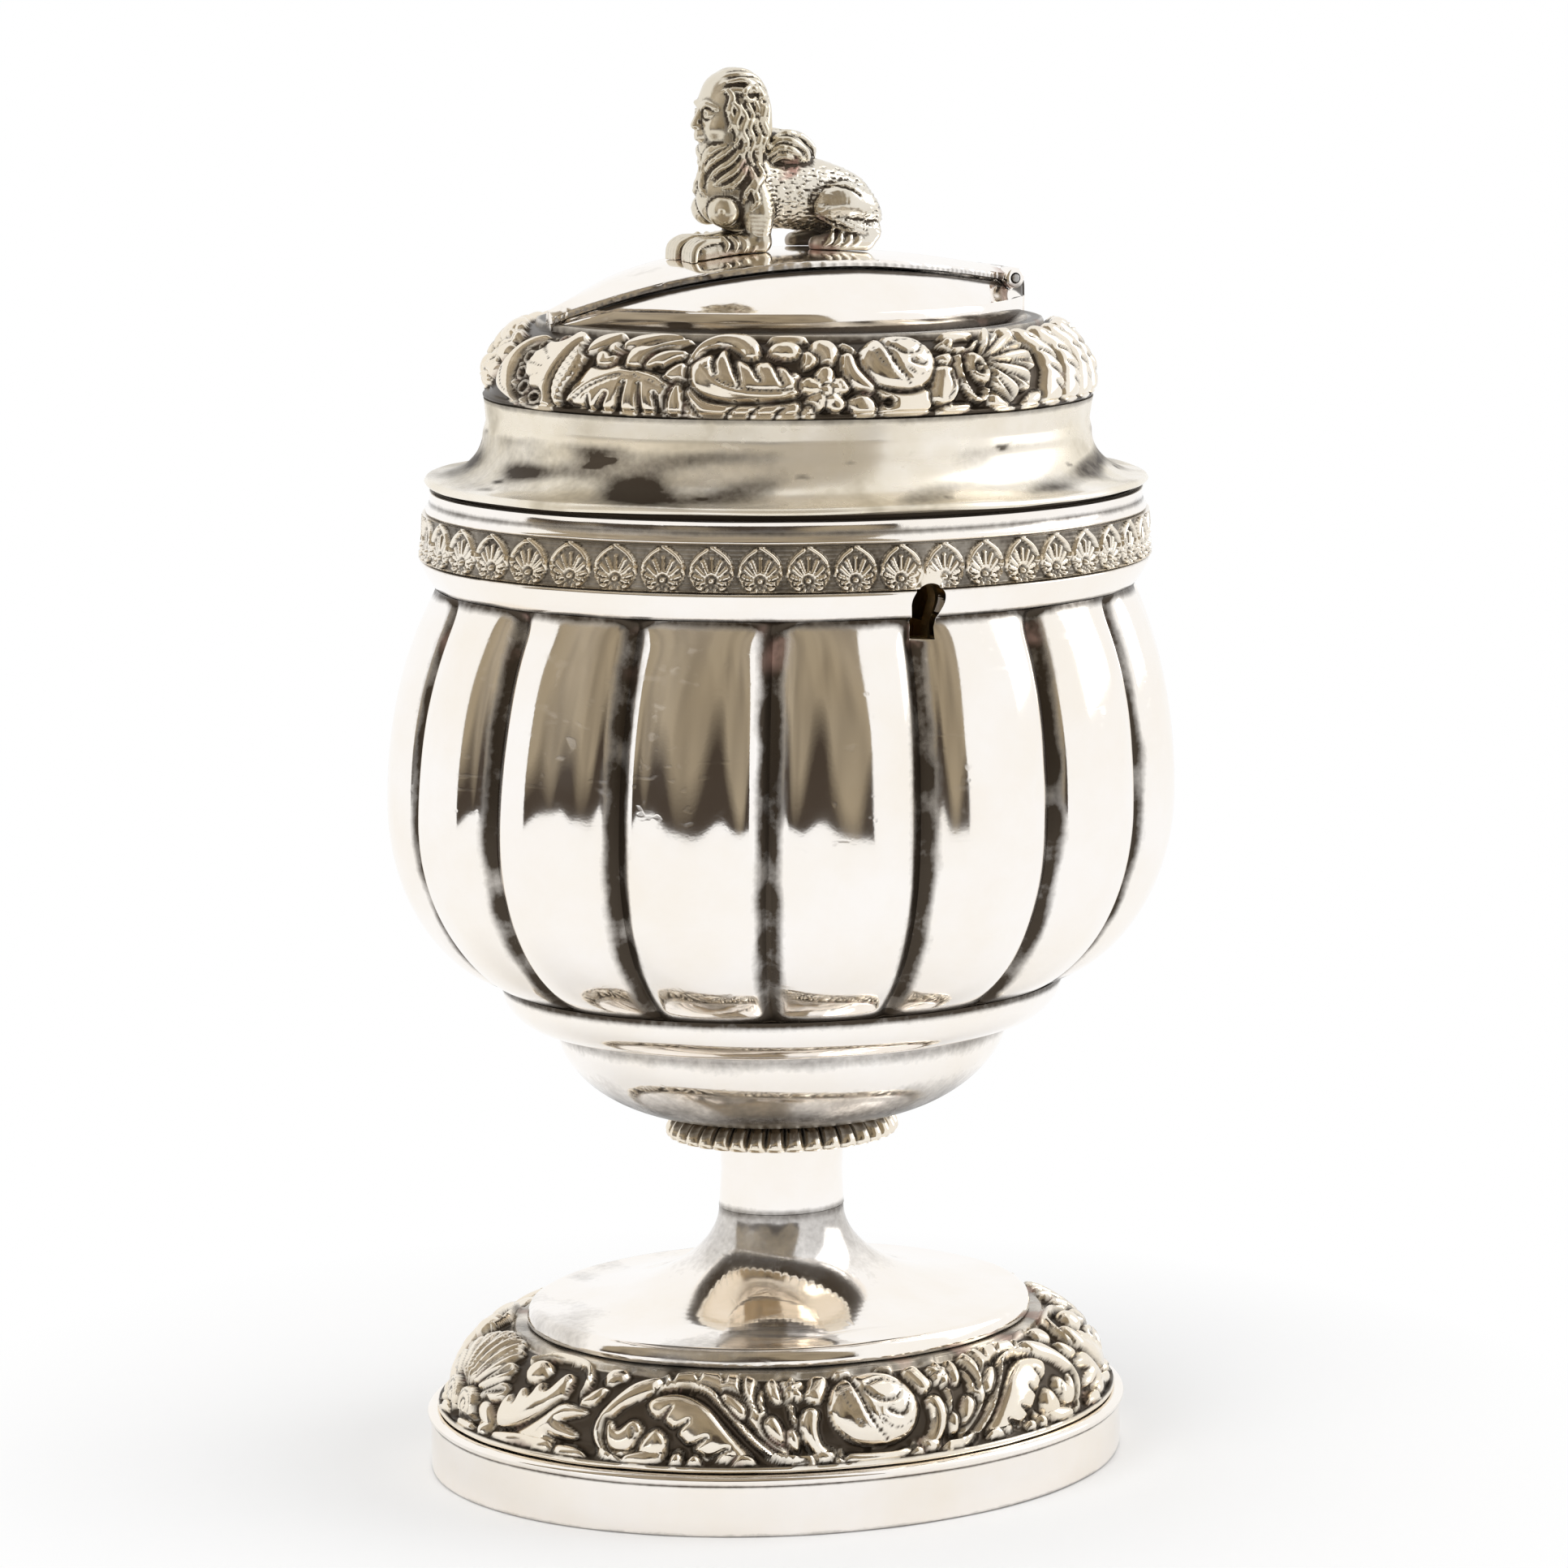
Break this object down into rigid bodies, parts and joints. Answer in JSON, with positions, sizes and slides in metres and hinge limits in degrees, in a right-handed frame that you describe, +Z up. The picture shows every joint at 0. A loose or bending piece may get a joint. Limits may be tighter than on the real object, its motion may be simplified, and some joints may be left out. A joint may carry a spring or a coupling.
{
  "type": "money box",
  "caption": "Footed oval silver money box with a lobed body, locking hinged cover, and a coin slot under a hinged flap with a recumbent sphinx.",
  "frame": {"origin": "centre of the foot's lower edge, on the surface that the box stands on", "axes": "+Z up; X along the long axis of the oval, with the sphinx looking towards -X; the keyhole faces -Y and the cover's hinge is at +Y"},
  "size_m": [0.0872, 0.0698, 0.15],
  "materials": {
    "silver": "polished silver with fine scratches and light tarnish",
    "oxidised_silver": "polished relief over dark oxidised grounds",
    "brass": "dull lock brass",
    "steel": "filed steel"
  },
  "bodies": {
    "base": {"foot_band": "silver", "foot_floral_border": "oxidised_silver", "foot_dome": "silver", "stem": "silver", "gadroon_ring": "oxidised_silver", "lower_bowl": "silver", "lobed_body": "silver", "collar": "silver", "palmette_band": "oxidised_silver", "collar_hinge_leaf": "silver", "cover_hinge_pin": "steel", "lock_case": "brass", "lock_cap": "brass", "key_post": "steel", "lock_ward": "brass", "bolt_stud": "steel", "bolt_spring": "steel", "lock_screw_left": "steel", "lock_screw_right": "steel"},
    "cover": {"cover_neck": "silver", "cover_bezel": "silver", "cover_floral_border": "oxidised_silver", "slot_plinth": "silver", "cover_hinge_leaf": "silver", "cover_hasp": "silver", "flap_knuckle_front": "silver", "flap_knuckle_back": "silver", "flap_hinge_pin": "steel"},
    "flap": {"coin_flap": "silver", "sphinx": "oxidised_silver"},
    "bolt": {"lock_bolt": "steel"}
  },
  "joints": [
    {"name": "cover_hinge", "type": "hinge", "parent": "base", "child": "cover", "pos_m": [0, 0.03334, 0.10632], "axis": [-1, 0, 0], "range_deg": [0, 105]},
    {"name": "flap_hinge", "type": "hinge", "parent": "cover", "child": "flap", "pos_m": [0.0246, 0, 0.12768], "axis": [0, 1, 0], "range_deg": [0, 95]},
    {"name": "bolt_slide", "type": "slide", "parent": "base", "child": "bolt", "axis": [1, 0, 0], "range_m": [0, 0.0026]}
  ]
}
